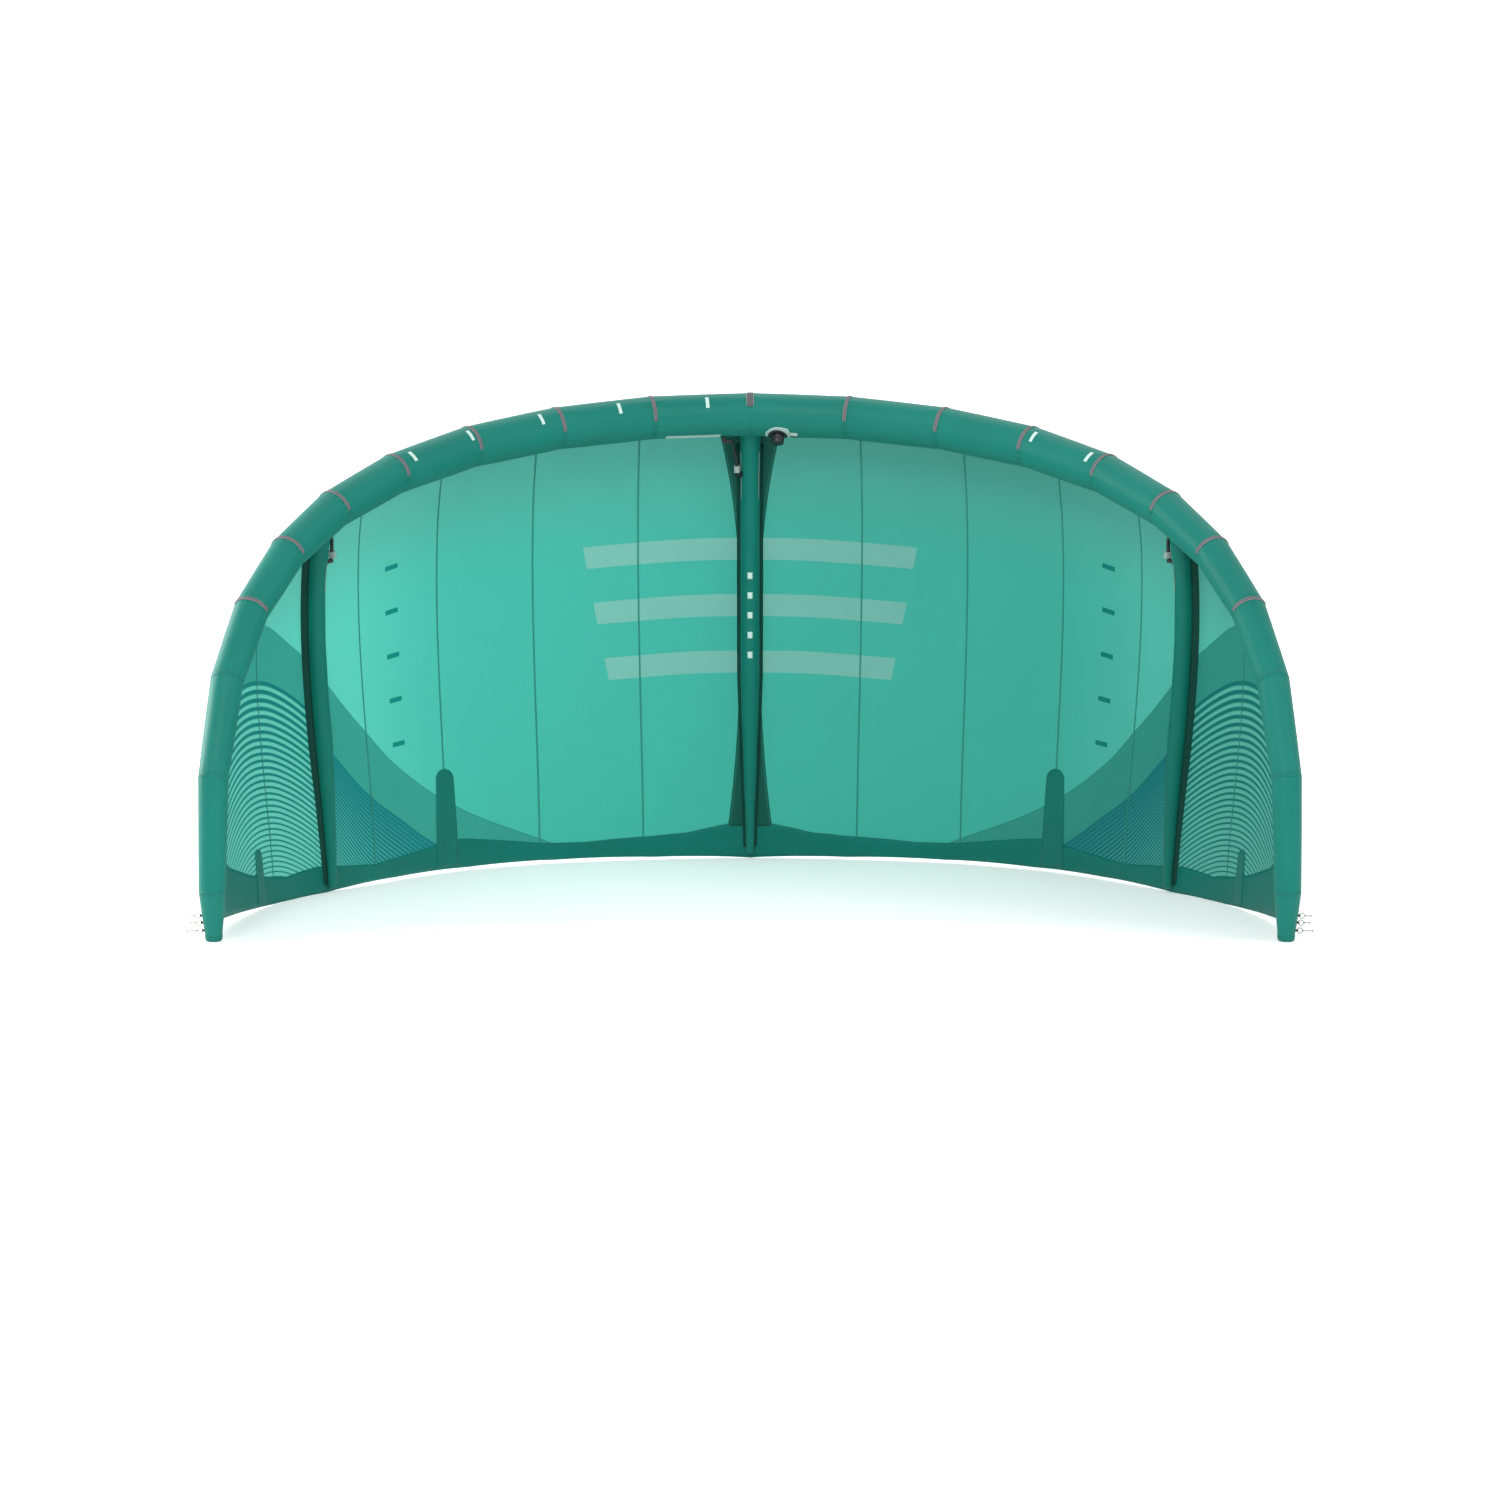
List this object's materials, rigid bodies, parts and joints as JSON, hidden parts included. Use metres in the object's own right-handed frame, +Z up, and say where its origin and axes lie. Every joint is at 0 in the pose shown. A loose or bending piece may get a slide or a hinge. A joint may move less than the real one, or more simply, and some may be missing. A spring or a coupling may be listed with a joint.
{
  "type": "kitesurf kite",
  "caption": "Inflatable leading-edge kite with a swept arc tube, three struts, ripstop canopy, inflation valve, hose clips and wingtip pigtails, standing on its trailing edge.",
  "frame": {"origin": "on the floor, under the middle of the kite's box (pigtails left out), where it stands on its trailing edge and wingtips", "axes": "+X towards the right wingtip seen from the hollow side, +Z up towards the leading edge, -Y the way the hollow side faces"},
  "size_m": [3.7082, 2.2551, 1.7687],
  "materials": {
    "leading_edge_dacron": "woven polyester sailcloth, satin",
    "canopy_ripstop": "thin coated ripstop, slightly shiny",
    "reinforcing_dacron": "woven polyester sailcloth, satin",
    "strut_dacron": "woven polyester sailcloth, satin",
    "bladder_film": "thin polyurethane film",
    "batten_glassfibre": "glass-fibre strip",
    "guard_webbing": "woven tape",
    "pale_patch": "pale coated cloth",
    "black_plastic": "moulded polyurethane",
    "black_hose": "flexible tube",
    "grey_plastic": "moulded nylon",
    "dark_webbing": "woven tape",
    "coated_line": "resin-coated braided line"
  },
  "bodies": {
    "kite": {"batten_pocket_left": "reinforcing_dacron", "batten_pocket_right": "reinforcing_dacron", "battens": "batten_glassfibre", "blank_label": "pale_patch", "canopy_1_left": "canopy_ripstop", "canopy_1_right": "canopy_ripstop", "canopy_2_left": "canopy_ripstop", "canopy_2_right": "canopy_ripstop", "canopy_3_left": "canopy_ripstop", "canopy_3_right": "canopy_ripstop", "canopy_4_left": "canopy_ripstop", "canopy_4_right": "canopy_ripstop", "canopy_5_left": "canopy_ripstop", "canopy_5_right": "canopy_ripstop", "canopy_6_left": "canopy_ripstop", "canopy_6_right": "canopy_ripstop", "canopy_7_left": "canopy_ripstop", "canopy_7_right": "canopy_ripstop", "centre_clip": "grey_plastic", "centre_hose": "black_hose", "centre_strut": "strut_dacron", "centre_strut_bladder": "bladder_film", "hose_elbows": "black_plastic", "pigtail_tabs_left": "dark_webbing", "pigtail_tabs_right": "dark_webbing", "seam_guards": "guard_webbing", "side_clip_left": "grey_plastic", "side_clip_right": "grey_plastic", "side_hose_left": "black_hose", "side_hose_right": "black_hose", "side_strut_bladder_left": "bladder_film", "side_strut_bladder_right": "bladder_film", "side_strut_left": "strut_dacron", "side_strut_right": "strut_dacron", "strut_flares": "reinforcing_dacron", "tip_batten_pocket_left": "reinforcing_dacron", "tip_batten_pocket_right": "reinforcing_dacron", "tip_battens": "batten_glassfibre", "tip_plugs": "dark_webbing", "trailing_band_left": "reinforcing_dacron", "trailing_band_right": "reinforcing_dacron", "tube_bladder": "bladder_film", "tube_panels_inner_left": "leading_edge_dacron", "tube_panels_inner_right": "leading_edge_dacron", "tube_panels_outer_left": "leading_edge_dacron", "tube_panels_outer_right": "leading_edge_dacron", "valve_base": "black_plastic", "valve_patch": "pale_patch"},
    "valve_collar_body": {"valve_collar": "black_plastic"},
    "valve_cap_body": {"valve_cap": "black_plastic"},
    "valve_flap_body": {"valve_flap": "black_plastic"},
    "centre_lever_body": {"centre_clip_lever": "grey_plastic"},
    "side_lever_left_body": {"side_clip_lever_left": "grey_plastic"},
    "side_lever_right_body": {"side_clip_lever_right": "grey_plastic"},
    "pigtail_1_left_body": {"pigtail_1_left": "coated_line"},
    "pigtail_1_right_body": {"pigtail_1_right": "coated_line"},
    "pigtail_2_left_body": {"pigtail_2_left": "coated_line"},
    "pigtail_2_right_body": {"pigtail_2_right": "coated_line"},
    "pigtail_3_left_body": {"pigtail_3_left": "coated_line"},
    "pigtail_3_right_body": {"pigtail_3_right": "coated_line"}
  },
  "joints": [
    {"name": "valve_collar_turn", "type": "hinge", "parent": "kite", "child": "valve_collar_body", "pos_m": [0.10079, 0.55471, 1.61405], "axis": [-0.0735, -0.3752, -0.924], "range_deg": [0, 90]},
    {"name": "valve_cap_open", "type": "hinge", "parent": "valve_collar_body", "child": "valve_cap_body", "pos_m": [0.10173, 0.57095, 1.58525], "axis": [0.9929, -0.1149, -0.0323], "range_deg": [0, 120]},
    {"name": "valve_flap_open", "type": "hinge", "parent": "valve_collar_body", "child": "valve_flap_body", "pos_m": [0.10277, 0.57053, 1.61862], "axis": [0.9929, -0.1149, -0.0323], "range_deg": [-40, 0], "stiffness_Nm_per_rad": 0.002},
    {"name": "centre_clip_lever_open", "type": "hinge", "parent": "kite", "child": "centre_lever_body", "pos_m": [-0.04769, 0.66239, 1.47675], "axis": [-1, 0, 0], "range_deg": [-100, 0]},
    {"name": "side_clip_lever_left_open", "type": "hinge", "parent": "kite", "child": "side_lever_left_body", "pos_m": [-1.44018, -0.17853, 1.21391], "axis": [-0.501, -0.8339, -0.2313], "range_deg": [-100, 0]},
    {"name": "side_clip_lever_right_open", "type": "hinge", "parent": "kite", "child": "side_lever_right_body", "pos_m": [1.44018, -0.17853, 1.21391], "axis": [-0.501, 0.8339, 0.2313], "range_deg": [-100, 0]},
    {"name": "pigtail_1_left_swing", "type": "hinge", "parent": "kite", "child": "pigtail_1_left_body", "pos_m": [-1.80671, -1.07598, 0.08684], "axis": [-0.0104, -0.1364, 0.9906], "range_deg": [-60, 60]},
    {"name": "pigtail_1_right_swing", "type": "hinge", "parent": "kite", "child": "pigtail_1_right_body", "pos_m": [1.80671, -1.07598, 0.08684], "axis": [-0.0104, 0.1364, -0.9906], "range_deg": [-60, 60]},
    {"name": "pigtail_2_left_swing", "type": "hinge", "parent": "kite", "child": "pigtail_2_left_body", "pos_m": [-1.8039, -1.07277, 0.06309], "axis": [-0.0104, -0.1364, 0.9906], "range_deg": [-60, 60]},
    {"name": "pigtail_2_right_swing", "type": "hinge", "parent": "kite", "child": "pigtail_2_right_body", "pos_m": [1.8039, -1.07277, 0.06309], "axis": [-0.0104, 0.1364, -0.9906], "range_deg": [-60, 60]},
    {"name": "pigtail_3_left_swing", "type": "hinge", "parent": "kite", "child": "pigtail_3_left_body", "pos_m": [-1.80073, -1.06916, 0.03638], "axis": [-0.0104, -0.1364, 0.9906], "range_deg": [-60, 60]},
    {"name": "pigtail_3_right_swing", "type": "hinge", "parent": "kite", "child": "pigtail_3_right_body", "pos_m": [1.80073, -1.06916, 0.03638], "axis": [-0.0104, 0.1364, -0.9906], "range_deg": [-60, 60]}
  ]
}
